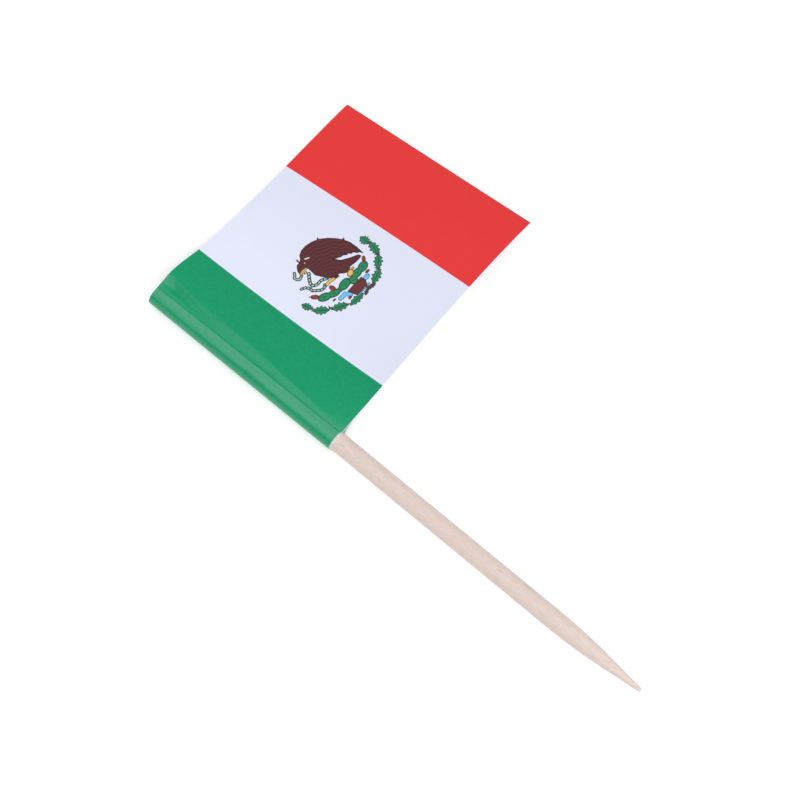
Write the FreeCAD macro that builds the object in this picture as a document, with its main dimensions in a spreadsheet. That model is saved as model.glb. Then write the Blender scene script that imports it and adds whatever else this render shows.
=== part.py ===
"""Flag toothpick: a round pick with one strip of glossy paper folded round it and glued to itself.

Millimetres. The pick lies along X, point towards +X, and the flag reaches out to +Y. The part lies on
the plane Z = 0 as it comes to rest, and the origin is the middle of its outline box, on that plane.
"""

import FreeCAD, Part
import math
import os

import Sketcher

Vector = FreeCAD.Vector

# Each section of the flag is taken square to the pick: at the paper's upper edge (the blunt end of the
# pick), halfway, and at its lower edge (towards the point). The rises near the pick are counted from the
# top of the paper that goes round it, and the lifts further out from the table to the sheet's underside.
SIZES = {
    "pick_length": 65.0,
    "shank_radius": 1.05,
    "butt_radius": 1.17,
    "butt_chamfer": 0.15,
    "swell_length": 25.0,
    "point_length": 11.5,
    "point_slope": 5.87,
    "tip_radius": 0.25,
    "leaf_thickness": 0.12,
    "wrap_gap": 0.02,
    "flag_height": 25.0,
    "flag_overhang": 0.15,
    "ridge_step": 1.75,
    "shoulder_step": 2.25,
    "green_step": 2.4,
    "white_inner_step": 4.4,
    "white_outer_step": 9.35,
    "red_step": 9.83,
    "glue_start": 2.3,
    "glue_blend": 0.7,
    "under_leave_angle": 128.0,
    "upper_crease_angle": 11.0,
    "upper_ridge_rise": 0.43,
    "upper_shoulder_rise": -0.05,
    "upper_green_rise": -0.93,
    "upper_white_lift": 0.62,
    "upper_red_lift": 0.18,
    "upper_fly_lift": 0.0,
    "middle_crease_angle": 22.0,
    "middle_ridge_rise": -0.08,
    "middle_shoulder_rise": -0.45,
    "middle_green_rise": -1.05,
    "middle_white_lift": 1.45,
    "middle_red_lift": 2.25,
    "middle_fly_lift": 1.82,
    "lower_crease_angle": 33.0,
    "lower_ridge_rise": 0.03,
    "lower_shoulder_rise": 0.25,
    "lower_green_rise": 0.62,
    "lower_white_lift": 3.53,
    "lower_red_lift": 4.65,
    "lower_fly_lift": 4.41,
}

# The three sections of the flag, each at its share of the flag's height from the upper edge.
SECTIONS = [(0.0, "upper"), (0.5, "middle"), (1.0, "lower")]

# Places along the curves of a section where the paper's other face is set off from them, as shares of
# their length, and how far the under leaf's two bends reach, as a share of its span.
UNDER_SHARES = [step / 12 for step in range(13)]
FRONT_SHARES = [0.3, 0.55, 0.8, 1.0]
BACK_SHARES = [0.4, 0.6, 0.8]
BLEND_PULL = 0.45

doc = FreeCAD.newDocument("flag_toothpick")


def make_sheet():
    """The sizes, one row each: the name, and the number under that name as its alias."""
    sheet = doc.addObject("Spreadsheet::Sheet", "sizes")
    for row, (name, value) in enumerate(SIZES.items(), start=1):
        sheet.set(f"A{row}", name)
        sheet.set(f"B{row}", str(value))
        sheet.setAlias(f"B{row}", name)
    doc.recompute()
    return sheet


sizes = make_sheet()


def size(name):
    return float(getattr(sizes, name))


def axis_height():
    """The pick is carried by the paper that goes round its thick end, which lies on the table."""
    return size("butt_radius") + size("wrap_gap") + size("leaf_thickness")


def inner_radius(x):
    """The paper's inside, a hair off the pick, which narrows evenly along its swelled length."""
    share = min(max(x / size("swell_length"), 0.0), 1.0)
    pick = size("butt_radius") + (size("shank_radius") - size("butt_radius")) * share
    return pick + size("wrap_gap")


def on_circle(x, radius, angle):
    """A point round the pick's axis, by its angle in degrees from straight up, towards the flag."""
    turn = math.radians(angle)
    return Vector(x, radius * math.sin(turn), axis_height() + radius * math.cos(turn))


def along_circle(angle):
    """The direction of travel there as the angle grows."""
    turn = math.radians(angle)
    return Vector(0, math.cos(turn), -math.sin(turn))


def arc(x, radius, start, end):
    middle = on_circle(x, radius, (start + end) / 2)
    return Part.Arc(on_circle(x, radius, start), middle, on_circle(x, radius, end)).toShape()


def turn_round_pick(x, radius, leave, crease):
    """The paper's way under the pick and up its far side to the crease, a quarter turn at most at a time."""
    stops = [leave, 180, 270, 360, 360 + crease]
    return [arc(x, radius, start, end) for start, end in zip(stops, stops[1:])]


def spline(points):
    curve = Part.BSplineCurve()
    curve.interpolate(points)
    return curve


def blend(start, start_direction, end, end_direction):
    """A cubic from one point and direction to another, its inner poles a share of the span away."""
    reach = BLEND_PULL * start.distanceToPoint(end)
    curve = Part.BezierCurve()
    curve.setPoles([start, start + start_direction * reach, end - end_direction * reach, end])
    return curve


def top_line(x, name):
    """The upper face of the sheet from the crease beside the pick to the fly edge.

    The paper can't stretch, so each station is one step of paper further out, whatever its height.
    """
    thickness = 2 * size("leaf_thickness")
    radius = inner_radius(x) + size("leaf_thickness")
    crest = axis_height() + radius
    heights = [
        ("ridge_step", crest + size(f"{name}_ridge_rise")),
        ("shoulder_step", crest + size(f"{name}_shoulder_rise")),
        ("green_step", crest + size(f"{name}_green_rise")),
        ("white_inner_step", size(f"{name}_white_lift") + thickness),
        ("white_outer_step", size(f"{name}_red_lift") + thickness),
        ("red_step", size(f"{name}_fly_lift") + thickness),
    ]
    points = [on_circle(x, radius, size(f"{name}_crease_angle"))]
    for step, height in heights:
        last = points[-1]
        level = math.sqrt(size(step) ** 2 - (height - last.z) ** 2)
        points.append(Vector(x, last.y + level, height))
    return spline(points)


def direction_at(curve, distance):
    return curve.tangent(curve.parameterAtDistance(distance, curve.FirstParameter))[0]


def beside(curve, distance, depth):
    """The point a depth off the curve, on its right, at a distance along it."""
    place = curve.value(curve.parameterAtDistance(distance, curve.FirstParameter))
    direction = direction_at(curve, distance)
    return place + Vector(0, direction.z, -direction.y) * depth


def flag_wires(x, name):
    """The outline of the folded paper in one section, and the outline of the space inside its loop."""
    leaf = size("leaf_thickness")
    inside = inner_radius(x)
    outside = inside + leaf
    crease = size(f"{name}_crease_angle")
    leave = size("under_leave_angle")
    top = top_line(x, name)
    glued = size("glue_start")
    joined = glued + size("glue_blend")
    length = top.length()

    under_points = [beside(top, joined + (length - joined) * share, 2 * leaf) for share in UNDER_SHARES]
    under_leaf = blend(under_points[0], -direction_at(top, joined), on_circle(x, outside, leave),
                       along_circle(leave))
    outer = [
        top.toShape(),
        Part.makeLine(top.value(top.LastParameter), under_points[-1]),
        spline(under_points[::-1]).toShape(),
        under_leaf.toShape(),
    ]
    outer += turn_round_pick(x, outside, leave, crease)

    front = [on_circle(x, inside, crease)]
    front += [beside(top, glued * share, leaf) for share in FRONT_SHARES]
    back = [front[-1]] + [beside(under_leaf, under_leaf.length() * share, leaf) for share in BACK_SHARES]
    inner = [
        spline(front).toShape(),
        spline(back + [on_circle(x, inside, leave)]).toShape(),
    ]
    inner += turn_round_pick(x, inside, leave, crease)
    return Part.Wire(outer), Part.Wire(inner)


def section_places():
    """Where each section of the flag stands along the pick, from the pick's blunt end."""
    return [(share * size("flag_height") - size("flag_overhang"), name) for share, name in SECTIONS]


def flag_shape():
    """The three sections carried smoothly into one sheet, less the space inside its loop."""
    pairs = [flag_wires(x, name) for x, name in section_places()]
    outline = Part.makeLoft([pair[0] for pair in pairs], True, False)
    space = Part.makeLoft([pair[1] for pair in pairs], True, False)
    return outline.cut(space)


def origin_shift():
    """From the pick's blunt end, on the table, to the middle of the whole part's outline box."""
    lines = [top_line(x, name) for x, name in section_places()]
    reach = max(line.value(line.LastParameter).y for line in lines)
    wrap = inner_radius(0) + size("leaf_thickness")
    return Vector(-(size("pick_length") - size("flag_overhang")) / 2, -(reach - wrap) / 2, 0)


def make_flag(shift):
    flag = doc.addObject("Part::Feature", "flag")
    flag.Label = "flag"
    flag.Shape = flag_shape()
    flag.Placement = FreeCAD.Placement(shift, FreeCAD.Rotation())
    return flag


def origin_plane(body, role):
    return next(item for item in body.Origin.OriginFeatures if item.Role == role)


def make_pick(shift):
    """One turned profile: blunt chamfered end, slight swell, straight shank, bent into a long point."""
    body = doc.addObject("PartDesign::Body", "pick")
    body.Label = "pick"
    sketch = body.newObject("Sketcher::SketchObject", "pick_profile")
    sketch.AttachmentSupport = [(origin_plane(body, "XZ_Plane"), "")]
    sketch.MapMode = "FlatFace"

    length = size("pick_length")
    shank = size("shank_radius")
    butt = size("butt_radius")
    chamfer = size("butt_chamfer")
    swell = size("swell_length")
    narrowing = length - size("point_length")
    tip = size("tip_radius")
    slope = math.radians(size("point_slope"))
    # The bend's radius is the one whose end, where it has turned to the cone's slope, is on the cone.
    fall = (length - tip - narrowing) * math.sin(slope) - shank * math.cos(slope) + tip
    bend = fall / (1 - math.cos(slope))
    bend_end = Vector(narrowing + bend * math.sin(slope), shank - bend * (1 - math.cos(slope)), 0)
    tip_start = Vector(length - tip + tip * math.sin(slope), tip * math.cos(slope), 0)

    def line(start, end):
        return sketch.addGeometry(Part.LineSegment(start, end), False)

    def curve(centre, radius, first, last):
        circle = Part.Circle(centre, Vector(0, 0, 1), radius)
        return sketch.addGeometry(Part.ArcOfCircle(circle, first, last), False)

    middle = line(Vector(length, 0, 0), Vector(0, 0, 0))
    end = line(Vector(0, 0, 0), Vector(0, butt - chamfer, 0))
    edge = line(Vector(0, butt - chamfer, 0), Vector(chamfer, butt, 0))
    swelled = line(Vector(chamfer, butt, 0), Vector(swell, shank, 0))
    straight = line(Vector(swell, shank, 0), Vector(narrowing, shank, 0))
    bent = curve(Vector(narrowing, shank - bend, 0), bend, math.pi / 2 - slope, math.pi / 2)
    cone = line(bend_end, tip_start)
    nose = curve(Vector(length - tip, 0, 0), tip, 0, math.pi / 2 - slope)

    constrain = sketch.addConstraint
    joints = [(middle, 2, end, 1), (end, 2, edge, 1), (edge, 2, swelled, 1), (swelled, 2, straight, 1),
              (nose, 1, middle, 1)]
    for first, first_end, second, second_end in joints:
        constrain(Sketcher.Constraint("Coincident", first, first_end, second, second_end))
    constrain(Sketcher.Constraint("Coincident", middle, 2, -1, 1))
    constrain(Sketcher.Constraint("PointOnObject", middle, 1, -1))
    constrain(Sketcher.Constraint("PointOnObject", nose, 3, -1))
    constrain(Sketcher.Constraint("Vertical", end))
    constrain(Sketcher.Constraint("Horizontal", straight))
    constrain(Sketcher.Constraint("Tangent", straight, 2, bent, 2))
    constrain(Sketcher.Constraint("Tangent", bent, 1, cone, 1))
    constrain(Sketcher.Constraint("Tangent", cone, 2, nose, 2))

    def driven(constraint, expression):
        sketch.setExpression(f"Constraints[{constrain(constraint)}]", expression)

    driven(Sketcher.Constraint("DistanceX", -1, 1, middle, 1, length), "sizes.pick_length")
    driven(Sketcher.Constraint("DistanceY", -1, 1, edge, 1, butt - chamfer),
           "sizes.butt_radius - sizes.butt_chamfer")
    driven(Sketcher.Constraint("DistanceX", -1, 1, edge, 2, chamfer), "sizes.butt_chamfer")
    driven(Sketcher.Constraint("DistanceY", -1, 1, edge, 2, butt), "sizes.butt_radius")
    driven(Sketcher.Constraint("DistanceX", -1, 1, straight, 1, swell), "sizes.swell_length")
    driven(Sketcher.Constraint("DistanceY", -1, 1, straight, 1, shank), "sizes.shank_radius")
    driven(Sketcher.Constraint("DistanceX", -1, 1, straight, 2, narrowing),
           "sizes.pick_length - sizes.point_length")
    driven(Sketcher.Constraint("Angle", cone, -slope), "-sizes.point_slope")
    driven(Sketcher.Constraint("Radius", nose, tip), "sizes.tip_radius")

    turning = body.newObject("PartDesign::Revolution", "pick_turning")
    turning.Profile = sketch
    turning.ReferenceAxis = (sketch, ["H_Axis"])
    turning.Angle = 360.0
    body.Placement = FreeCAD.Placement(shift, FreeCAD.Rotation())
    body.setExpression(
        "Placement.Base.z", "sizes.butt_radius + sizes.wrap_gap + sizes.leaf_thickness"
    )
    return body


def check(parts):
    """Every object built, and each sub-part is one closed valid solid."""
    for item in doc.Objects:
        if "Invalid" in item.State or "Error" in item.State:
            raise RuntimeError(f"{item.Name} did not build: {item.State}")
    for part in parts:
        shape = part.Shape
        if shape.isNull() or not shape.isValid() or len(shape.Solids) != 1:
            raise RuntimeError(f"{part.Label} is not one valid solid")


def main():
    shift = origin_shift()
    parts = [make_pick(shift), make_flag(shift)]
    doc.recompute()
    check(parts)
    os.makedirs("parts", exist_ok=True)
    for part in parts:
        part.Shape.exportStep(os.path.join("parts", f"{part.Label}.step"))
        box = part.Shape.BoundBox
        print(f"{part.Label}: volume {part.Shape.Volume:.2f}, X {box.XMin:.3f} to {box.XMax:.3f}, "
              f"Y {box.YMin:.3f} to {box.YMax:.3f}, Z {box.ZMin:.3f} to {box.ZMax:.3f}")


main()
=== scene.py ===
"""Flag toothpick: the finish of its printed paper flag and of its wooden pick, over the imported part.

Metres, in the part's own frame: the pick lies along X with its point towards +X, the flag reaches out
to +Y, and the part lies on Z = 0. Sizes named in millimetres are the ones that the solids are built from.
"""

import math

import bpy
import numpy as np
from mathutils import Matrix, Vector


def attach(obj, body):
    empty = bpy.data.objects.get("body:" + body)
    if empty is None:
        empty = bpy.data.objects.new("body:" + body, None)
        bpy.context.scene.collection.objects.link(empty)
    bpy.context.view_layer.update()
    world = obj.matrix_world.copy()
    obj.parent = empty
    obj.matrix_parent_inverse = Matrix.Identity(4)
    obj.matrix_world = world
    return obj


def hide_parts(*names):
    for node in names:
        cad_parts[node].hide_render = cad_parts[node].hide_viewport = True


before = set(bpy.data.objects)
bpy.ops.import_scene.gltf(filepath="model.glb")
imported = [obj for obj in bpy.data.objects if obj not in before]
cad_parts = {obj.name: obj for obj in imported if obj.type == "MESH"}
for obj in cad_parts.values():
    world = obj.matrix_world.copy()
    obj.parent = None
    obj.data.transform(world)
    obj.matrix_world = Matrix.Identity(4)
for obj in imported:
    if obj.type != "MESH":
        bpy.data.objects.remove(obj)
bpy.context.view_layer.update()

MM = 0.001

# The pick, in millimetres and degrees.
PICK_LENGTH = 65.0
SHANK_RADIUS = 1.05
BUTT_RADIUS = 1.17
BUTT_CHAMFER = 0.15
SWELL_LENGTH = 25.0
POINT_LENGTH = 11.5
POINT_SLOPE = 5.87
TIP_RADIUS = 0.25

# The paper, in millimetres and degrees. The two leaves are glued together from GLUE_START past the crease
# on the upper one and from GLUE_END on the under one, which leaves the pick at its angle from straight up
# and bends over to the glue. STEPS are the lengths of paper between the stations of a section.
LEAF = 0.12
WRAP_GAP = 0.02
FLAG_HEIGHT = 25.0
FLAG_OVERHANG = 0.15
GLUE_START = 2.3
GLUE_END = 3.0
UNDER_LEAVE_ANGLE = 128.0
UNDER_LEAF_RUN = 2.5
BLEND_PULL = 0.45
STEPS = [1.75, 2.25, 2.4, 4.4, 9.35, 9.83]

# The flag's three sections across the pick, by their share of the way from its upper edge to its lower
# one: the crease's angle past straight up, the heights of three stations counted from the top of the
# paper's turn, and the height of the sheet's underside above the table at three more.
SECTIONS = [
    {"share": 0.0, "crease": 11.0, "rises": [0.43, -0.05, -0.93], "lifts": [0.62, 0.18, 0.0]},
    {"share": 0.5, "crease": 22.0, "rises": [-0.08, -0.45, -1.05], "lifts": [1.45, 2.25, 1.82]},
    {"share": 1.0, "crease": 33.0, "rises": [0.03, 0.25, 0.62], "lifts": [3.53, 4.65, 4.41]},
]

# The soft ridge in the paper beside the roll, in millimetres. Its distance from the crease is given at
# the upper edge, halfway and at the lower edge. The dip before it fades out over a share of the height.
RIDGE_PLACES = [1.95, 1.3, 0.1]
RIDGE_HEIGHT = 0.19
RIDGE_LATENESS = 1.3
RIDGE_TAPER = 1.5
DIP_REACH = 0.36
DIP_PLACE = 1.05
DIP_DEPTH = 0.34
DIP_AT_EDGE = 0.4

# The print, in millimetres from the crease: the width of the green, the start of the red, the fly edge.
GREEN_WIDTH = 6.5
RED_START = 20.15
SHEET_WIDTH = 29.98

# The figure, in millimetres: its middle from the crease and from the flag's upper edge, its scale against
# the outlines below, and the stretches across and down the flag that it fills. There the grid is fine
# enough to carry its lines.
FIGURE_PLACE = (13.57, 12.62)
FIGURE_SCALE = 1.01
FIGURE_ACROSS = (7.9, 18.7)
FIGURE_DOWN = (7.1, 17.9)
GRID_FINE = 0.09
GRID_ACROSS = 0.4
GRID_DOWN = 0.5
FEATHER_ROWS = 0.42
FEATHER_LINE = 0.1
RING_SPACING = 0.38
RING_WIDTH = 0.14
SNAKE_WIDTHS = [0.32, 0.36, 0.33]

# The finish, in millimetres: half the soft edge of the ink, the bare rim at the cut end and how steeply it
# dies out on the sheet, and where past the crease the pale haze of crazing and painted sheen sets in,
# fades and ends.
INK_SPREAD = 0.03
RIM_WIDTH = 0.1
RIM_FADE = 9.0
CRAZE_AND_SHEEN_START = (0.1, 0.22)
CRAZE_AND_SHEEN_FADING = (0.2, 1.2)
CRAZE_AND_SHEEN_END = (1.45, 1.65)
CRAZE_AND_SHEEN_WANDER = 0.5

# Two faces that meet at more than these angles, in degrees, meet at a sharp edge.
PAPER_SHARP = 28.0
WOOD_SHARP = 35.0

# The inks in the order they lie, each as its field, the distance at which its edge lies, and its colour.
GREEN = "#029465"
INKS = [
    ("white_stripe", 0.0, "#E2E6F8"),
    ("red_stripe", 0.0, "#E83636"),
    ("leaves", 0.06, "#2B4638"),
    ("leaves", -0.06, "#238C5C"),
    ("veins", 0.0, "#2C5443"),
    ("water", 0.04, "#3C78A8"),
    ("water", -0.04, "#74C4F2"),
    ("stone", 0.03, "#43282A"),
    ("stone", -0.05, "#6A3232"),
    ("bird", 0.03, "#3E2224"),
    ("bird", -0.06, "#572A2D"),
    ("feathers", 0.0, "#6B3235"),
    ("light_marks", 0.0, "#E6DDDC"),
    ("gold", 0.05, "#6E5230"),
    ("gold", -0.03, "#E8BC62"),
    ("fruit", 0.03, "#5E2E2C"),
    ("fruit", -0.06, "#9A3A3A"),
    ("snake", 0.01, "#22343A"),
    ("snake", -0.1, "#B4CCC0"),
    ("snake_rings", 0.0, "#2E4440"),
    ("dark_ties", 0.0, "#4A463C"),
]

# The lamps: the place, the point they face and the two sides, in metres, and the power in watts.
LAMPS = [
    ("hoist_box", (0.125, -0.257, 0.434), (0.125, -0.07, 0.0), 0.55, 0.61, 1.9),
    ("tip_box", (0.42, 0.22, 0.3), (0.0, 0.0, 0.0), 0.35, 0.35, 1.6),
]
ROOM_STRENGTH = 0.43

# The table: half its width in metres, and how far it glows to the camera.
TABLE_REACH = 0.6
TABLE_GLOW = 0.3

# The camera, fitted to the photograph's outline: degrees, millimetres.
CAMERA_AZIMUTH = 41.066
CAMERA_ELEVATION = 68.8
CAMERA_DISTANCE = 300.0
CAMERA_LENS = 130.83
CAMERA_TARGET = [26.42, 7.983, 0.0]


def linear(code):
    """An sRGB hex colour as the linear RGBA that the shaders take."""
    parts = [int(code[i:i + 2], 16) / 255 for i in (1, 3, 5)]
    return tuple(c / 12.92 if c <= 0.04045 else ((c + 0.055) / 1.055) ** 2.4 for c in parts) + (1.0,)


def axis_height():
    """The height of the pick's axis: its thick end lies on the paper, and the paper on the table."""
    return BUTT_RADIUS + WRAP_GAP + LEAF


def inner_radius(x):
    """The inside of the paper's turn: a hair off the pick, which narrows evenly along its swell."""
    share = min(max(x / SWELL_LENGTH, 0.0), 1.0)
    return BUTT_RADIUS + (SHANK_RADIUS - BUTT_RADIUS) * share + WRAP_GAP


def on_circle(radius, degrees):
    """Points (y, z) round the pick's axis, by their angles from straight up towards the flag."""
    turn = np.radians(np.atleast_1d(degrees))
    return np.stack([radius * np.sin(turn), axis_height() + radius * np.cos(turn)], axis=1)


def smooth_line(stations):
    """A cubic spline through the stations, timed by the chords between them, as a fine polyline.

    Its slopes at the stations solve the usual equations for an even second derivative, and its two end
    slopes are those of the cubic through the four nearest stations.
    """
    stations = np.asarray(stations, float)
    time = np.concatenate([[0.0], np.cumsum(np.linalg.norm(np.diff(stations, axis=0), axis=1))])
    gap = np.diff(time)
    chord = np.diff(stations, axis=0) / gap[:, None]
    size = len(stations)
    system = np.zeros((size, size))
    right = np.zeros((size, 2))
    inner = np.arange(1, size - 1)
    system[inner, inner - 1] = gap[1:]
    system[inner, inner] = 2 * (gap[:-1] + gap[1:])
    system[inner, inner + 1] = gap[:-1]
    right[inner] = 3 * (gap[1:, None] * chord[:-1] + gap[:-1, None] * chord[1:])
    system[0, 0] = system[-1, -1] = 1.0
    right[0] = np.polyfit(time[:4] - time[0], stations[:4], 3)[2]
    right[-1] = np.polyfit(time[-4:] - time[-1], stations[-4:], 3)[2]
    slope = np.linalg.solve(system, right)
    moment = np.linspace(0.0, time[-1], 1500)
    span = np.clip(np.searchsorted(time, moment, side="right") - 1, 0, size - 2)
    step = gap[span][:, None]
    share = (moment - time[span])[:, None] / step
    start, end = stations[span], stations[span + 1]
    return (
        (2 * share ** 3 - 3 * share ** 2 + 1) * start
        + (share ** 3 - 2 * share ** 2 + share) * step * slope[span]
        + (3 * share ** 2 - 2 * share ** 3) * end
        + (share ** 3 - share ** 2) * step * slope[span + 1]
    )


def distances(line):
    """How far along a polyline each of its points lies: the running sum of its steps."""
    return np.concatenate([[0.0], np.cumsum(np.linalg.norm(np.diff(line, axis=0), axis=1))])


def along(line, where, depth=0.0):
    """Points at given distances along a polyline, set off to its right by a depth."""
    run = distances(line)
    tangent = np.gradient(line, run, axis=0)
    tangent /= np.linalg.norm(tangent, axis=1)[:, None]
    place = np.stack([np.interp(where, run, line[:, k]) for k in (0, 1)], axis=1)
    heading = np.stack([np.interp(where, run, tangent[:, k]) for k in (0, 1)], axis=1)
    return place + depth * np.stack([heading[:, 1], -heading[:, 0]], axis=1)


def bent(start, start_heading, end, end_heading):
    """A cubic with two inner poles, each a share of the span out along its end's heading."""
    reach = BLEND_PULL * np.linalg.norm(end - start)
    poles = [start, start + start_heading * reach, end - end_heading * reach, end]
    t = np.linspace(0.0, 1.0, 200)[:, None]
    weights = [(1 - t) ** 3, 3 * t * (1 - t) ** 2, 3 * t ** 2 * (1 - t), t ** 3]
    return sum(w * p for w, p in zip(weights, poles))


def top_stations(x, section):
    """The stations of the sheet's upper face, each one step of paper further out, whatever its height."""
    radius = inner_radius(x) + LEAF
    crest = axis_height() + radius
    heights = [crest + rise for rise in section["rises"]] + [lift + 2 * LEAF for lift in section["lifts"]]
    points = [on_circle(radius, section["crease"])[0]]
    for step, height in zip(STEPS, heights):
        level = math.sqrt(step ** 2 - (height - points[-1][1]) ** 2)
        points.append(np.array([points[-1][0] + level, height]))
    return points


def section_rings(x, section, front, sheet, back, turn):
    """The paper's outline in one section, and the outline of the hollow in its loop, as (y, z) rows.

    front, sheet, back and turn hold shares from 0 to 1: from the crease to the glue, from the glue to the
    fly edge, along the under leaf, and round the pick. Both rings start at the crease and go out first.
    The lines of the hollow run through a few stations, one leaf inside the paper's faces, as in the solid.
    """
    inside = inner_radius(x)
    outside = inside + LEAF
    crease = section["crease"]
    top = smooth_line(top_stations(x, section))
    length = distances(top)[-1]
    upper = along(top, GLUE_START * front)
    upper_sheet = along(top, GLUE_START + (length - GLUE_START) * sheet)
    under_sheet = along(top, GLUE_END + (length - GLUE_END) * sheet, 2 * LEAF)
    joined = along(top, np.array([GLUE_END - 0.01, GLUE_END + 0.01]))
    heading = (joined[0] - joined[1]) / np.linalg.norm(joined[0] - joined[1])
    leave = math.radians(UNDER_LEAVE_ANGLE)
    landing = np.array([math.cos(leave), -math.sin(leave)])
    under_leaf = bent(under_sheet[0], heading, on_circle(outside, UNDER_LEAVE_ANGLE)[0], landing)
    under_length = distances(under_leaf)[-1]
    angles = UNDER_LEAVE_ANGLE + (360.0 + crease - UNDER_LEAVE_ANGLE) * turn

    hollow_front = smooth_line(np.concatenate([
        on_circle(inside, crease),
        along(top, GLUE_START * np.array([0.3, 0.55, 0.8, 1.0]), LEAF),
    ]))
    hollow_back = smooth_line(np.concatenate([
        hollow_front[-1:],
        along(under_leaf, under_length * np.array([0.4, 0.6, 0.8]), LEAF),
        on_circle(inside, UNDER_LEAVE_ANGLE),
    ]))
    outer = np.concatenate([
        upper,
        upper_sheet[1:],
        under_sheet[::-1],
        along(under_leaf, under_length * back)[1:],
        on_circle(outside, angles)[1:-1],
    ])
    hollow = np.concatenate([
        along(hollow_front, distances(hollow_front)[-1] * front),
        along(hollow_back, distances(hollow_back)[-1] * back)[1:],
        on_circle(inside, angles)[1:-1],
    ])
    return outer, hollow


def soft_ridge(run, share):
    """How far the upper leaf stands off its section's curve.

    run is the way from the crease on the paper, and share how far down the flag it is. The ridge lies on a
    parabola through its three places. A squared sine grows from the crease to it, late rather than early,
    and falls off to the glue. Its height goes down the flag as half a sine wave to a power. Before it a
    second squared sine hollows the paper. That dip shrinks with the square of what is left of its reach,
    moves towards the crease as it does, and is shallower at the flag's very edge.
    """
    place = np.polyval(np.polyfit([0.0, 0.5, 1.0], RIDGE_PLACES, 2), share)
    growing = (run / place) ** RIDGE_LATENESS
    falling = (GLUE_START - run) / (GLUE_START - place)
    part = np.where(run < place, growing, falling)
    height = RIDGE_HEIGHT * np.sin(math.pi * share) ** RIDGE_TAPER
    left = np.clip(1 - share / DIP_REACH, 0.01, 1.0)
    depth = DIP_DEPTH * left ** 2 * np.minimum(DIP_AT_EDGE + 10 * share, 1.0)
    across = np.minimum(run / (2 * DIP_PLACE * left ** 0.7), 1.0)
    return height * np.sin(math.pi / 2 * part) ** 2 - depth * np.sin(math.pi * across) ** 2


def graded(low, high, fine_low, fine_high, coarse, fine):
    """Places from low to high, close together between the fine limits and further apart outside them."""
    parts = []
    stretches = ((low, fine_low, coarse), (fine_low, fine_high, fine), (fine_high, high, coarse))
    for start, end, step in stretches:
        count = max(1, round((end - start) / step))
        parts.append(np.linspace(start, end, count + 1)[:-1])
    return np.concatenate(parts + [np.array([high])])


def strips(first, second, rows):
    """Quads between two neighbouring columns of points, for each pair of neighbouring rows."""
    a, b = first[:, None], second[:, None]
    low, high = rows[None, :-1], rows[None, 1:]
    return np.stack([a + low, a + high, b + high, b + low], axis=-1).reshape(-1, 4)


def flag_shift():
    """From the pick's blunt end, on its axis, to the part's frame."""
    ends = [top_stations(s["share"] * FLAG_HEIGHT - FLAG_OVERHANG, s)[-1][0] for s in SECTIONS]
    wrap = inner_radius(0.0) + LEAF
    return np.array([-(PICK_LENGTH - FLAG_OVERHANG) / 2, -(max(ends) - wrap) / 2, 0.0])


def ellipse(p, q, centre, radii, degrees=0.0):
    """How far each point is outside an ellipse, nearly, in millimetres; inside it is below 0."""
    turn = math.radians(degrees)
    dp, dq = p - centre[0], q - centre[1]
    a = (dp * math.cos(turn) + dq * math.sin(turn)) / radii[0]
    b = (dq * math.cos(turn) - dp * math.sin(turn)) / radii[1]
    return (np.hypot(a, b) - 1.0) * min(radii)


def nearest_on(p, q, points):
    """How far each point is from a broken line, and how far along the line the place nearest to it lies."""
    best = np.full(p.shape, 1e3)
    reached = np.zeros(p.shape)
    passed = 0.0
    for (p0, q0), (p1, q1) in zip(points, points[1:]):
        run = np.array([p1 - p0, q1 - q0])
        share = np.clip(((p - p0) * run[0] + (q - q0) * run[1]) / (run @ run), 0.0, 1.0)
        away = np.hypot(p - p0 - share * run[0], q - q0 - share * run[1])
        reached = np.where(away < best, passed + share * math.hypot(*run), reached)
        best = np.minimum(best, away)
        passed += math.hypot(*run)
    return best, reached


def ribbon(p, q, points, width):
    """How far each point is outside a band of a given width along a broken line."""
    return nearest_on(p, q, points)[0] - width / 2


def ring_marks(p, q, points, width):
    """Bars across a band: evenly spaced stretches of the run along its line, as far as its width goes."""
    away, reached = nearest_on(p, q, points)
    bars = np.abs(reached % RING_SPACING - RING_SPACING / 2) - RING_WIDTH / 2
    return np.maximum(bars, away - width / 2)


def outline(p, q, corners):
    """How far each point is outside a closed outline of straight runs; inside it is below 0."""
    inside = np.zeros(p.shape, bool)
    for (p0, q0), (p1, q1) in zip(corners, corners[1:] + corners[:1]):
        level = (q0 > q) != (q1 > q)
        inside ^= level & (p < p0 + (q - q0) * (p1 - p0) / (q1 - q0))
    away = ribbon(p, q, corners + corners[:1], 0.0)
    return np.where(inside, -away, away)


def wreath_leaf(p, q, centre, size, degrees):
    """How far each point is outside a pointed leaf with a notched rim.

    Half its width falls from the middle as one less the square of the way to its ends, and from end to
    end it swells and narrows four times, as a cosine.
    """
    turn = math.radians(degrees)
    dp, dq = p - centre[0], q - centre[1]
    a = (dp * math.cos(turn) + dq * math.sin(turn)) / size[0]
    b = dq * math.cos(turn) - dp * math.sin(turn)
    return np.abs(b) - size[1] * (1 - a ** 2) * (0.86 + 0.24 * np.cos(4 * math.pi * a))


def union(*fields):
    """One field for several shapes: the least distance of them all."""
    return np.minimum.reduce(fields)


# The half wreath: each leaf's place, half length and half width, and its angle.
WREATH = [
    ((-4.86, -0.2), (0.6, 0.4), 102), ((-4.3, -1.65), (0.86, 0.46), -50),
    ((-2.85, -2.95), (0.92, 0.46), -36), ((-1.2, -3.8), (0.92, 0.4), -6),
    ((1.95, -3.72), (0.9, 0.46), 16), ((3.35, -2.75), (0.88, 0.44), 38), ((4.3, -1.4), (0.92, 0.46), 72),
    ((4.42, 0.0), (0.64, 0.5), 86),
]

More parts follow.
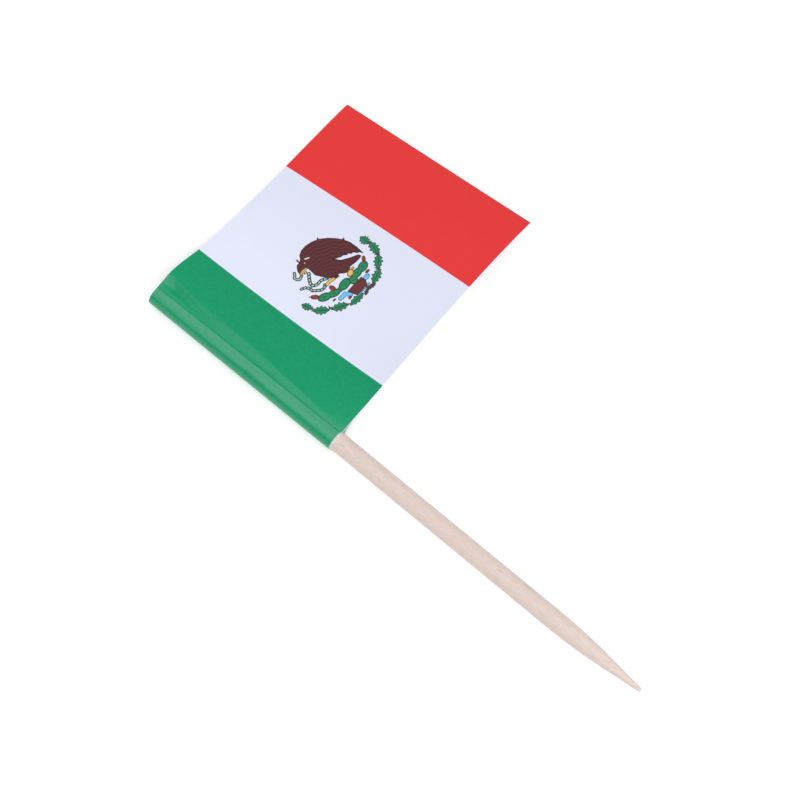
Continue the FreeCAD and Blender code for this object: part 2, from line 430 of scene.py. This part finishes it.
# The short dark ties between the leaves of the wreath, each from end to end.
TIES = [
    [(-4.95, -0.95), (-4.5, -0.65)], [(-4.75, -0.7), (-4.6, -1.0)], [(-3.75, -2.15), (-3.35, -2.3)],
    [(-3.5, -1.95), (-3.6, -2.45)], [(-2.3, -3.25), (-1.95, -3.6)], [(2.45, -3.2), (2.95, -3.35)],
    [(2.6, -2.95), (2.8, -3.6)], [(3.75, -1.95), (4.25, -2.2)], [(3.8, -2.2), (4.0, -1.8)],
    [(4.2, -0.5), (4.75, -0.6)], [(4.4, -0.75), (4.5, -0.35)],
]

# The plant under the bird: each pad's place, half length and half width, and its angle.
PADS = [
    ((-2.95, -0.96), (0.66, 0.42), -32), ((-2.05, -1.46), (0.62, 0.38), -24),
    ((-1.35, -1.68), (0.35, 0.24), 0), ((-0.64, -1.67), (0.7, 0.46), 6), ((0.25, -2.1), (0.46, 0.4), 70),
    ((1.06, -1.86), (0.62, 0.4), 4), ((1.98, -1.86), (0.6, 0.44), 14),
]

# The outlines of the bird and the stone, and the middle lines of the snake.
BIRD = [
    (-1.16, 3.88), (-0.86, 4.24), (-0.34, 4.46), (0.33, 4.48), (1.08, 4.28), (1.77, 3.88), (2.38, 3.26),
    (2.87, 2.52), (3.2, 1.8), (3.36, 1.05), (3.34, 0.15), (3.2, -0.88), (3.02, -0.42), (2.84, -0.36),
    (2.66, 0.08), (2.44, 0.04), (2.26, 0.4), (2.04, 0.34), (1.82, 0.64), (1.54, 0.68), (0.9, 1.12),
    (1.2, 0.48), (1.98, -0.12), (2.76, -0.58), (2.82, -0.92), (2.34, -0.97), (1.86, -0.92), (1.24, -0.78),
    (0.9, -0.98), (0.56, -1.02), (0.26, -0.78), (-0.02, -0.44), (-0.5, -0.3), (-0.92, -0.08),
    (-1.18, 0.4), (-1.44, 0.95), (-1.64, 1.46), (-1.54, 2.06), (-1.48, 2.62), (-1.92, 2.8), (-2.32, 2.68),
    (-2.52, 2.76), (-2.38, 3.18), (-2.12, 3.5), (-1.88, 3.7), (-1.54, 3.64),
]
BREAST = (-1.2, -0.2)
SNAKE_HEAD = [(-2.75, 3.32), (-2.95, 3.1), (-3.18, 2.95), (-3.15, 2.6), (-2.95, 2.4), (-2.62, 2.5)]
SNAKE_BODY = [(-1.9, 2.1), (-2.3, 1.7), (-2.7, 1.2), (-2.7, 0.85), (-2.4, 0.62), (-1.7, 0.56), (-1.15, 0.2)]
SNAKE_TAIL = [
    (-3.7, 1.56), (-3.35, 1.35), (-3.12, 0.95), (-3.15, 0.5), (-2.85, 0.15), (-2.5, -0.2), (-2.1, -0.25),
    (-1.9, -0.05),
]
STONE = [(-1.06, -2.44), (0.98, -2.5), (0.95, -3.14), (0.72, -3.5), (-0.1, -3.6), (-0.84, -3.52)]


def figure_fields(p, q):
    """The printed figure as one distance field for each of its inks.

    p runs towards the fly and q up the flag, in millimetres from the middle of the white field: a brown
    bird with a raised wing on a green plant, over a stone and water, in a half wreath of leaves.
    """
    bird = union(
        outline(p, q, BIRD),
        ribbon(p, q, [(-1.54, 3.68), (-1.46, 4.13)], 0.1),
        ribbon(p, q, [(1.66, 3.9), (1.74, 4.08)], 0.12),
        ribbon(p, q, [(3.16, 1.8), (3.32, 1.9)], 0.12),
        ribbon(p, q, [(-0.7, -0.4), (-0.35, -0.5)], 0.22),
    )
    # The feathers lie in even rows round the breast, each row a chain of shallow scallops.
    across_rows = ellipse(p, q, BREAST, (1.0, 0.82), -20)
    scallops = 0.07 * np.cos(14 * np.arctan2(q - BREAST[1], p - BREAST[0]))
    rows = (across_rows + scallops) % FEATHER_ROWS
    plumes = np.maximum(np.abs(rows - FEATHER_ROWS / 2) - FEATHER_LINE / 2, bird + 0.12)
    marks = union(
        ribbon(p, q, [(-0.85, 3.52), (-0.5, 3.28)], 0.14),
        ribbon(p, q, [(-1.3, 3.2), (-1.15, 3.3)], 0.08),
    )
    leaves = union(
        *[wreath_leaf(p, q, *place) for place in WREATH],
        *[ellipse(p, q, *pad) for pad in PADS],
    )
    veins = union(
        *[wreath_leaf(p, q, place, (size[0] * 0.9, 0.09), angle) for place, size, angle in WREATH],
        *[ribbon(p, q, [(x - 0.14, y + 0.1), (x + 0.16, y - 0.08)], 0.12) for (x, y), size, angle in PADS],
    )
    gold = union(
        ribbon(p, q, [(-2.52, 2.5), (-2.4, 2.74), (-2.02, 2.8), (-1.64, 2.7)], 0.18),
        ellipse(p, q, (-2.04, 2.44), (0.16, 0.1)),
        ribbon(p, q, [(-1.85, -0.2), (-1.3, -0.22), (-0.85, -0.36)], 0.3),
        ellipse(p, q, (0.68, -1.3), (0.4, 0.28), 25),
        ellipse(p, q, (1.22, -1.14), (0.14, 0.12)),
    )
    fruit = union(
        ellipse(p, q, (-3.55, -0.15), (0.42, 0.24), -52),
        ellipse(p, q, (-1.72, -0.95), (0.24, 0.38), 0),
        ellipse(p, q, (2.7, -1.36), (0.34, 0.18), 45),
        ellipse(p, q, (-1.45, -3.1), (0.2, 0.14)),
        ellipse(p, q, (1.84, -2.6), (0.24, 0.14)),
    )
    water = union(
        ribbon(p, q, [(-2.12, -2.4), (-1.44, -2.42), (-1.18, -2.95)], 0.44),
        ellipse(p, q, (1.3, -2.94), (0.36, 0.26)),
        ribbon(p, q, [(-0.8, -3.64), (0.9, -3.62)], 0.14),
    )
    paths = zip((SNAKE_HEAD, SNAKE_BODY, SNAKE_TAIL), SNAKE_WIDTHS)
    snake = union(*[ribbon(p, q, path, width) for path, width in paths])
    rings = union(ring_marks(p, q, SNAKE_BODY, 0.3), ring_marks(p, q, SNAKE_TAIL, 0.3))
    ties = union(
        *[ribbon(p, q, tie, 0.13) for tie in TIES],
        wreath_leaf(p, q, (0.02, -4.05), (0.5, 0.26), 22),
        wreath_leaf(p, q, (0.85, -4.05), (0.55, 0.3), -14),
        wreath_leaf(p, q, (0.48, -3.85), (0.42, 0.2), 80),
        ellipse(p, q, (-2.62, -1.97), (0.22, 0.12), -10),
        ribbon(p, q, [(-3.9, 0.35), (-3.75, 0.15)], 0.12),
    )
    return {
        "leaves": leaves, "veins": veins, "water": water, "stone": outline(p, q, STONE), "bird": bird,
        "feathers": plumes, "light_marks": marks, "gold": gold, "fruit": fruit, "snake": snake,
        "snake_rings": rings, "dark_ties": ties,
    }


def new_mesh(name, points, quads, triangles, fields):
    """A smooth mesh from points in millimetres, with each field as an attribute of its points."""
    mesh = bpy.data.meshes.new(name)
    corners = np.concatenate([quads.ravel(), triangles.ravel()]).astype(np.int32)
    counts = np.concatenate([np.full(len(quads), 4), np.full(len(triangles), 3)])
    mesh.vertices.add(len(points))
    mesh.vertices.foreach_set("co", (points * MM).astype(np.float32).ravel())
    mesh.loops.add(len(corners))
    mesh.loops.foreach_set("vertex_index", corners)
    mesh.polygons.add(len(counts))
    starts = np.concatenate([[0], np.cumsum(counts)[:-1]])
    mesh.polygons.foreach_set("loop_start", starts.astype(np.int32))
    mesh.polygons.foreach_set("use_smooth", np.ones(len(counts), bool))
    mesh.update(calc_edges=True)
    mesh.validate()
    for field, values in fields.items():
        attribute = mesh.attributes.new(field, "FLOAT", "POINT")
        attribute.data.foreach_set("value", values.astype(np.float32))
    return mesh


def add_object(name, data):
    """A new object in the scene, at the origin, unturned and unscaled."""
    thing = bpy.data.objects.new(name, data)
    bpy.context.scene.collection.objects.link(thing)
    return thing


def add_piece(name, mesh, materials, node):
    """Puts a piece in the scene in the place of its node."""
    piece = add_object(name, mesh)
    for material in materials:
        mesh.materials.append(material)
    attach(piece, "root")
    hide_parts(node)


def cut_end(out, hollow, glue, fly, joined):
    """The cut edge that closes the skin at the upper end of the flag, as quads and one triangle.

    Round the loop it lies between the outer ring and the hollow's. From the glue outwards it lies between
    the two faces of the sheet, with the triangle where they part.
    """
    loop_out = np.concatenate([out[:glue + 1], out[joined:], out[:1]])
    loop_in = np.concatenate([hollow, hollow[:1]])
    step = np.delete(np.arange(len(loop_out) - 1), glue)
    inner = np.concatenate([np.arange(glue + 1), np.arange(glue, len(loop_in))])
    ring = [loop_out[step], loop_out[step + 1], loop_in[inner[step + 1]], loop_in[inner[step]]]
    upper = out[glue:fly + 1]
    under = out[fly + 1:joined + 1][::-1]
    pair = [upper[:-1], upper[1:], under[1:], under[:-1]]
    quads = np.concatenate([np.stack(ring, axis=1), np.stack(pair, axis=1)])
    return quads, np.array([[out[glue], out[joined], hollow[glue]]])


def print_fields(from_crease, from_top, past_crease, leaf_depth):
    """What the inks and finishes read, one value for each point.

    The first three arguments are distances on the paper: from the crease whichever leaf, from the flag's
    upper edge, and past the crease on the way round the pick, below 0 on the sheet. The bare rim is
    counted from the lower edge, and further on the sheet, so that it dies out there.
    """
    p = (from_crease - FIGURE_PLACE[0]) / FIGURE_SCALE
    q = (FIGURE_PLACE[1] - from_top) / FIGURE_SCALE
    return {
        **figure_fields(p, q),
        "white_stripe": GREEN_WIDTH - from_crease,
        "red_stripe": RED_START - from_crease,
        "past_crease": past_crease,
        "bare_rim": FLAG_HEIGHT - from_top - RIM_FADE * np.minimum(past_crease, 0.0),
        "leaf_depth": leaf_depth,
    }


def paper_flag(materials):
    """The folded strip as one closed skin.

    Its three sections are worked out on the same shares, and every row between them is the parabola
    through the three, so the sheet twists evenly down the flag. The soft ridge is added to both faces of
    the upper leaf. Cut edges close the skin at both ends.
    """
    shown = graded(GLUE_START, SHEET_WIDTH, *FIGURE_ACROSS, GRID_ACROSS, GRID_FINE)
    sheet = (shown - GLUE_START) / (SHEET_WIDTH - GLUE_START)
    # Shares of the way over the loop to the glue, back along the under leaf, and round the pick.
    front = np.linspace(0.0, 1.0, 25)
    back = np.linspace(0.0, 1.0, 15)
    turn = np.linspace(0.0, 1.0, 49)
    rows = graded(0.0, FLAG_HEIGHT, *FIGURE_DOWN, GRID_DOWN, GRID_FINE)
    rings = [
        section_rings(s["share"] * FLAG_HEIGHT - FLAG_OVERHANG, s, front, sheet, back, turn)
        for s in SECTIONS
    ]
    share = rows / FLAG_HEIGHT
    weight = np.stack([
        (1 - share) * (1 - 2 * share),
        4 * share * (1 - share),
        share * (2 * share - 1),
    ])
    outer = np.einsum("sr,scd->crd", weight, np.stack([ring[0] for ring in rings]))
    hollow = np.einsum("sr,scd->crd", weight, np.stack([ring[1] for ring in rings]))
    stand = soft_ridge(GLUE_START * front[:, None], share[None, :])
    outer[:len(front), :, 1] += stand
    hollow[:len(front), :, 1] += stand
    across = np.concatenate([outer, hollow])
    x = np.broadcast_to(rows - FLAG_OVERHANG, across.shape[:2])
    points = np.concatenate([x[..., None], across], axis=2).reshape(-1, 3) + flag_shift()

    row = np.arange(len(rows))
    column = np.arange(len(across)) * len(rows)
    out = column[:len(outer)]
    hole = column[len(outer):]
    glue = len(front) - 1
    fly = glue + len(sheet) - 1
    joined = fly + len(sheet)
    skin = strips(out, np.roll(out, -1), row)
    lining = strips(hole, np.roll(hole, -1), row)[:, ::-1]

    cut, parting = cut_end(out, hole, glue, fly, joined)
    last = row[-1]
    quads = np.concatenate([skin, lining, cut, cut[:, ::-1] + last])
    triangles = np.concatenate([parting, parting[:, ::-1] + last])

    # The skin is printed, its fly edge and its ends are cut paper, and the lining is the paper's back.
    printed, cut_paper, paper_back = range(3)
    edge = np.full(len(out), printed)
    edge[fly] = cut_paper
    finish = np.concatenate([
        np.repeat(edge, len(rows) - 1),
        np.full(len(lining), paper_back),
        np.full(2 * len(cut), cut_paper),
        np.full(len(triangles), cut_paper),
    ])

    # How far each column is from the crease on the paper, whichever leaf it is on.
    under_from = GLUE_END + (SHEET_WIDTH - GLUE_END) * sheet
    round_back = np.linspace(GLUE_END, 0.0, len(back) + len(turn) - 1)[1:-1]
    unprinted = np.zeros(len(hollow))
    from_crease = np.concatenate([
        GLUE_START * front, shown[1:], under_from[::-1], round_back, unprinted,
    ])

    # How far each column is past the crease on the way round the pick, by the middle section's crease.
    round_turn = math.radians(360.0 + SECTIONS[1]["crease"] - UNDER_LEAVE_ANGLE) * (1.0 - turn)
    round_pick = axis_height() * round_turn
    under_bend = round_pick[0] + UNDER_LEAF_RUN * (1.0 - back)
    past_crease = np.concatenate([-from_crease[:joined], under_bend, round_pick[1:-1], unprinted])

    # The cut edge's depth through the sheet: 0 at the upper face, 1 at the under one, half in the hollow.
    leaf_depth = np.zeros(len(across))
    leaf_depth[fly + 1:joined + 1] = 1.0
    leaf_depth[len(out):] = 0.5

    grid = across.shape[:2]
    from_crease, past_crease, leaf_depth = (
        np.broadcast_to(values[:, None], grid).ravel() for values in (from_crease, past_crease, leaf_depth)
    )
    fields = print_fields(from_crease, np.broadcast_to(rows, grid).ravel(), past_crease, leaf_depth)
    mesh = new_mesh("paper_flag", points, quads, triangles, fields)
    add_piece("paper_flag", mesh, materials, "flag")
    mesh.polygons.foreach_set("material_index", finish.astype(np.int32))
    mesh.set_sharp_from_angle(angle=math.radians(PAPER_SHARP))


def wooden_pick(material):
    """The pick's profile, turned about its axis.

    A flat end with a small chamfer, an even taper off the swell, a straight shank, then an arc that bends
    into the straight cone of the point, and a round tip. The arc's radius follows from the length and the
    slope of the point, so that the cone runs smoothly into the tip.
    """
    slope = math.radians(POINT_SLOPE)
    narrowing = PICK_LENGTH - POINT_LENGTH
    fall = (POINT_LENGTH - TIP_RADIUS) * math.sin(slope) - SHANK_RADIUS * math.cos(slope) + TIP_RADIUS
    bend = fall / (1 - math.cos(slope))
    turning = np.linspace(0.0, slope, 14)
    tip_turn = np.linspace(math.pi / 2 - slope, 0.0, 9)
    shank = np.linspace(1.0, narrowing, 60)
    width = np.interp(shank, [0.0, SWELL_LENGTH], [BUTT_RADIUS, SHANK_RADIUS])
    tip_middle = PICK_LENGTH - TIP_RADIUS
    flat = BUTT_RADIUS - BUTT_CHAMFER
    profile = np.concatenate([
        [[0.0, 0.0], [0.0, 0.55], [0.0, 0.9], [0.0, flat], [BUTT_CHAMFER, BUTT_RADIUS]],
        np.stack([shank, width], axis=1),
        np.stack([
            narrowing + bend * np.sin(turning[1:]),
            SHANK_RADIUS - bend * (1 - np.cos(turning[1:])),
        ], axis=1),
        np.stack([tip_middle + TIP_RADIUS * np.cos(tip_turn), TIP_RADIUS * np.sin(tip_turn)], axis=1),
    ])
    around = 96
    angle = np.linspace(0.0, 2 * math.pi, around + 1)[:-1]
    ring = profile[1:-1]
    x = np.broadcast_to(ring[:, :1], (len(ring), around))
    y = ring[:, 1:] * np.cos(angle)
    z = ring[:, 1:] * np.sin(angle)
    points = np.concatenate([
        np.stack([x, y, z], axis=2).reshape(-1, 3), [[0.0, 0.0, 0.0], [PICK_LENGTH, 0.0, 0.0]],
    ])
    points = points + flag_shift() + [0.0, 0.0, axis_height()]
    spoke = np.arange(around)
    following = np.roll(spoke, -1)
    base = (np.arange(len(ring) - 1) * around)[:, None]
    following_ring = base + around
    quads = np.stack([
        following_ring + spoke, following_ring + following, base + following, base + spoke,
    ], axis=-1).reshape(-1, 4)
    butt = len(ring) * around
    nose = (len(ring) - 1) * around
    triangles = np.concatenate([
        np.stack([np.full(around, butt), following, spoke], axis=1),
        np.stack([np.full(around, butt + 1), nose + spoke, nose + following], axis=1),
    ])
    mesh = new_mesh("wooden_pick", points, quads, triangles, {})
    mesh.set_sharp_from_angle(angle=math.radians(WOOD_SHARP))
    add_piece("wooden_pick", mesh, [material], "pick")


def new_material(name):
    """A material with a principled surface: the material, its node tree and the surface node."""
    material = bpy.data.materials.new(name)
    material.use_nodes = True
    tree = material.node_tree
    return material, tree, tree.nodes["Principled BSDF"]


def add_node(tree, kind, settings=None, **sockets):
    """Adds a shader node, makes its own settings, and gives its sockets values or links from outputs.

    A socket goes by its name, with _ for a space, or by its number where a node has several of one name:
    _6 and _7 are the two colours of a mix.
    """
    node = tree.nodes.new("ShaderNode" + kind)
    for key, value in (settings or {}).items():
        setattr(node, key, value)
    for key, value in sockets.items():
        socket = node.inputs[int(key[1:])] if key[1:].isdigit() else node.inputs[key.replace("_", " ")]
        if isinstance(value, bpy.types.NodeSocket):
            tree.links.new(value, socket)
        else:
            socket.default_value = value
    return node


# Settings that several nodes share: a soft step between two values, and a mix of colours.
SOFT = {"interpolation_type": "SMOOTHSTEP"}
COLOURS = {"data_type": "RGBA"}


def coated_paper_print():
    """Offset ink on glossy coated paper: three plain stripes and one small figure.

    To the eye: flat clean colours with edges as soft as ink on paper, a broad soft sheen that the sheet's
    faint waves break up, a pale haze round the pick that is partly crazing of the coating and partly
    painted sheen, and a bare white rim where it has worn off the cut end.
    """
    material, tree, surface = new_material("printed_coated_paper")
    where = add_node(tree, "TexCoord").outputs["Object"]

    # The green lies heaviest and takes a mottle in specks of a third of a millimetre.
    specks = add_node(tree, "TexNoise", Vector=where, Scale=1 / (0.35 * MM), Detail=3.0).outputs[0]
    mottle = add_node(tree, "MapRange", Value=specks, From_Min=0.3, From_Max=0.7,
                      To_Min=0.93, To_Max=1.07).outputs[0]
    colour = add_node(tree, "Mix", {"data_type": "RGBA", "blend_type": "MULTIPLY"}, Factor=1.0,
                      _6=linear(GREEN), _7=mottle).outputs[2]

    # The inks over it, one over another, each inside its field's outline.
    for name, edge, ink in INKS:
        distance = add_node(tree, "Attribute", {"attribute_name": name}).outputs["Fac"]
        amount = add_node(tree, "MapRange", SOFT, Value=distance,
                          From_Min=edge + INK_SPREAD, From_Max=edge - INK_SPREAD).outputs[0]
        colour = add_node(tree, "Mix", COLOURS, Factor=amount, _6=colour, _7=linear(ink)).outputs[2]

    # Past the crease the paper is bent hard round the pick. The pale haze there is partly crazing of the
    # coating and partly painted sheen, a painted highlight for the gloss along the turn. The haze thins out
    # as it goes and ends at a wandering line about 1.3 mm on.
    past_crease = add_node(tree, "Attribute", {"attribute_name": "past_crease"}).outputs["Fac"]
    drawn = add_node(tree, "Mapping", Vector=where, Scale=(0.25, 1.0, 1.0)).outputs[0]
    waves = add_node(tree, "TexNoise", Vector=drawn, Scale=1 / (1.3 * MM), Detail=2.0).outputs[0]
    wander = add_node(tree, "Math", {"operation": "MULTIPLY_ADD"},
                      _0=waves, _1=CRAZE_AND_SHEEN_WANDER, _2=past_crease).outputs[0]
    begun = add_node(tree, "MapRange", Value=past_crease,
                     From_Min=CRAZE_AND_SHEEN_START[0], From_Max=CRAZE_AND_SHEEN_START[1]).outputs[0]
    short_of_end = add_node(tree, "MapRange", SOFT, Value=wander,
                            From_Min=CRAZE_AND_SHEEN_END[1], From_Max=CRAZE_AND_SHEEN_END[0]).outputs[0]
    thinning = add_node(tree, "MapRange", Value=past_crease, From_Min=CRAZE_AND_SHEEN_FADING[0],
                        From_Max=CRAZE_AND_SHEEN_FADING[1], To_Min=0.15, To_Max=0.06).outputs[0]
    crazing_and_painted_sheen = add_node(tree, "Math", {"operation": "MULTIPLY"}, _0=begun, _1=short_of_end).outputs[0]
    crazing_and_painted_sheen = add_node(tree, "Math", {"operation": "MULTIPLY"}, _0=crazing_and_painted_sheen, _1=thinning).outputs[0]
    # The pale green-white mixed in here is painted sheen over the turn, with some crazing of the coating.
    colour = add_node(tree, "Mix", COLOURS, Factor=crazing_and_painted_sheen, _6=colour, _7=linear("#B4D6CC")).outputs[2]

    # The bare rim round the pick, its edge wandering by a few hundredths of a millimetre.
    rim = add_node(tree, "Attribute", {"attribute_name": "bare_rim"}).outputs["Fac"]
    rim = add_node(tree, "Math", {"operation": "MULTIPLY_ADD"}, _0=specks, _1=0.12, _2=rim).outputs[0]
    bare = add_node(tree, "MapRange", SOFT, Value=rim,
                    From_Min=RIM_WIDTH + 0.1, From_Max=RIM_WIDTH).outputs[0]
    colour = add_node(tree, "Mix", COLOURS, Factor=bare, _6=colour, _7=linear("#C8D0CD")).outputs[2]
    tree.links.new(colour, surface.inputs["Base Color"])

    # The same waves, five millimetres long down the pick and over one across it, stand in faint relief.
    relief = add_node(tree, "Bump", Strength=1.0, Distance=0.03 * MM, Height=waves).outputs[0]
    tree.links.new(relief, surface.inputs["Normal"])
    surface.inputs["Roughness"].default_value = 0.25
    surface.inputs["Specular IOR Level"].default_value = 0.42
    return material


def cut_paper_edge():
    """The paper's cut edge: bare fibre, white and matt, with the glue line as a faint thread in it."""
    material, tree, surface = new_material("cut_paper_edge")
    depth = add_node(tree, "Attribute", {"attribute_name": "leaf_depth"}).outputs["Fac"]
    off = add_node(tree, "Math", {"operation": "SUBTRACT"}, _0=depth, _1=0.5).outputs[0]
    away = add_node(tree, "Math", {"operation": "ABSOLUTE"}, _0=off).outputs[0]
    seam = add_node(tree, "MapRange", Value=away, From_Min=0.0, From_Max=0.1,
                    To_Min=0.35, To_Max=0.0).outputs[0]
    colour = add_node(tree, "Mix", COLOURS, Factor=seam,
                      _6=linear("#E8EAF2"), _7=linear("#B8BAC0")).outputs[2]
    tree.links.new(colour, surface.inputs["Base Color"])
    surface.inputs["Roughness"].default_value = 0.8
    return material


def uncoated_paper_back():
    """The strip's unprinted side inside the loop: white fibre, matt, in soft clouds a millimetre across."""
    material, tree, surface = new_material("uncoated_paper")
    where = add_node(tree, "TexCoord").outputs["Object"]
    cloud = add_node(tree, "TexNoise", Vector=where, Scale=1 / (1.1 * MM), Detail=3.0).outputs[0]
    colour = add_node(tree, "Mix", COLOURS, Factor=cloud,
                      _6=linear("#DFE1EA"), _7=linear("#EEF0F6")).outputs[2]
    tree.links.new(colour, surface.inputs["Base Color"])
    surface.inputs["Roughness"].default_value = 0.75
    return material


def turned_birch():
    """Birch, turned and tumbled: pale and matt.

    To the eye: short fibres a tenth of a millimetre across, drawn out along the pick and just proud of it,
    soft pinkish clouds a millimetre and a half across, and darker pores that read as fine specks.
    """
    material, tree, surface = new_material("turned_birch")
    where = add_node(tree, "TexCoord").outputs["Object"]
    drawn = add_node(tree, "Mapping", Vector=where, Scale=(0.18, 1.0, 1.0)).outputs[0]
    fibre = add_node(tree, "TexNoise", Vector=drawn, Scale=1 / (0.12 * MM), Detail=4.0).outputs[0]
    tone = add_node(tree, "MapRange", Value=fibre, From_Min=0.25, From_Max=0.75).outputs[0]
    colour = add_node(tree, "Mix", COLOURS, Factor=tone,
                      _6=linear("#D0BEB5"), _7=linear("#DFD0C9")).outputs[2]

    clouds = add_node(tree, "TexNoise", Vector=drawn, Scale=1 / (1.6 * MM), Detail=2.0).outputs[0]
    warm = add_node(tree, "MapRange", Value=clouds, From_Min=0.4, From_Max=0.75,
                    To_Min=0.0, To_Max=0.35).outputs[0]
    colour = add_node(tree, "Mix", COLOURS, Factor=warm, _6=colour, _7=linear("#DAC1B5")).outputs[2]

    pores = add_node(tree, "TexNoise", Vector=drawn, Scale=1 / (0.3 * MM), Detail=1.0).outputs[0]
    pore = add_node(tree, "MapRange", SOFT, Value=pores, From_Min=0.68, From_Max=0.78,
                    To_Min=0.0, To_Max=0.5).outputs[0]
    colour = add_node(tree, "Mix", COLOURS, Factor=pore, _6=colour, _7=linear("#B89A88")).outputs[2]
    tree.links.new(colour, surface.inputs["Base Color"])

    relief = add_node(tree, "Bump", Strength=1.0, Distance=0.01 * MM, Height=fibre).outputs[0]
    tree.links.new(relief, surface.inputs["Normal"])
    surface.inputs["Roughness"].default_value = 0.6
    return material


def matt_white_table():
    """Matt white board. To the camera, to mirrors and through clear things it glows a little, so that the
    ground shows white, and it lights the part no more than a white table does."""
    material, tree, surface = new_material("white_table")
    surface.inputs["Base Color"].default_value = linear("#F4F4F4")
    surface.inputs["Roughness"].default_value = 0.9
    rays = add_node(tree, "LightPath").outputs
    seen = add_node(tree, "Math", {"operation": "MAXIMUM"},
                    _0=rays["Is Camera Ray"], _1=rays["Is Glossy Ray"]).outputs[0]
    seen = add_node(tree, "Math", {"operation": "MAXIMUM"},
                    _0=seen, _1=rays["Is Transmission Ray"]).outputs[0]
    glow = add_node(tree, "Math", {"operation": "MULTIPLY"}, _0=seen, _1=TABLE_GLOW).outputs[0]
    tree.links.new(glow, surface.inputs["Emission Strength"])
    surface.inputs["Emission Color"].default_value = (1.0, 1.0, 1.0, 1.0)
    return material


def aim(thing, target):
    """Turns a lamp or the camera, which look down their own -Z, to face a point."""
    heading = Vector(target) - Vector(thing.location)
    thing.rotation_mode = "QUATERNION"
    thing.rotation_quaternion = heading.to_track_quat("-Z", "Y")


def table():
    """A white square that the part lies on."""
    mesh = bpy.data.meshes.new("table")
    ends = (-TABLE_REACH, TABLE_REACH)
    corners = [(ends[0], ends[0], 0), (ends[1], ends[0], 0), (ends[1], ends[1], 0), (ends[0], ends[1], 0)]
    mesh.from_pydata(corners, [], [(0, 1, 2, 3)])
    mesh.materials.append(matt_white_table())
    add_object("table", mesh)


def room_and_lamps():
    """An even white room, with a large lamp over the flag's hoist side and a small one past the tip."""
    world = bpy.data.worlds.new("studio_room")
    bpy.context.scene.world = world
    world.use_nodes = True
    background = world.node_tree.nodes["Background"]
    background.inputs["Color"].default_value = (1.0, 1.0, 1.0, 1.0)
    background.inputs["Strength"].default_value = ROOM_STRENGTH
    for name, place, target, size_x, size_y, energy in LAMPS:
        data = bpy.data.lights.new(name, "AREA")
        data.shape = "RECTANGLE"
        data.size, data.size_y = size_x, size_y
        data.energy = energy
        lamp = add_object(name, data)
        lamp.location = place
        aim(lamp, target)


def camera():
    """The camera, at its distance from its target in the direction of its azimuth and elevation."""
    data = bpy.data.cameras.new("camera")
    data.lens = CAMERA_LENS
    data.clip_start = 0.01
    viewer = add_object("camera", data)
    azimuth = math.radians(CAMERA_AZIMUTH)
    elevation = math.radians(CAMERA_ELEVATION)
    target = (flag_shift() + CAMERA_TARGET) * MM
    outwards = np.array([
        math.sin(azimuth) * math.cos(elevation),
        -math.cos(azimuth) * math.cos(elevation),
        math.sin(elevation),
    ])
    viewer.location = target + outwards * CAMERA_DISTANCE * MM
    aim(viewer, target)
    bpy.context.scene.camera = viewer
    bpy.context.scene.view_settings.view_transform = "Standard"


paper_flag([coated_paper_print(), cut_paper_edge(), uncoated_paper_back()])
wooden_pick(turned_birch())
table()
room_and_lamps()
camera()
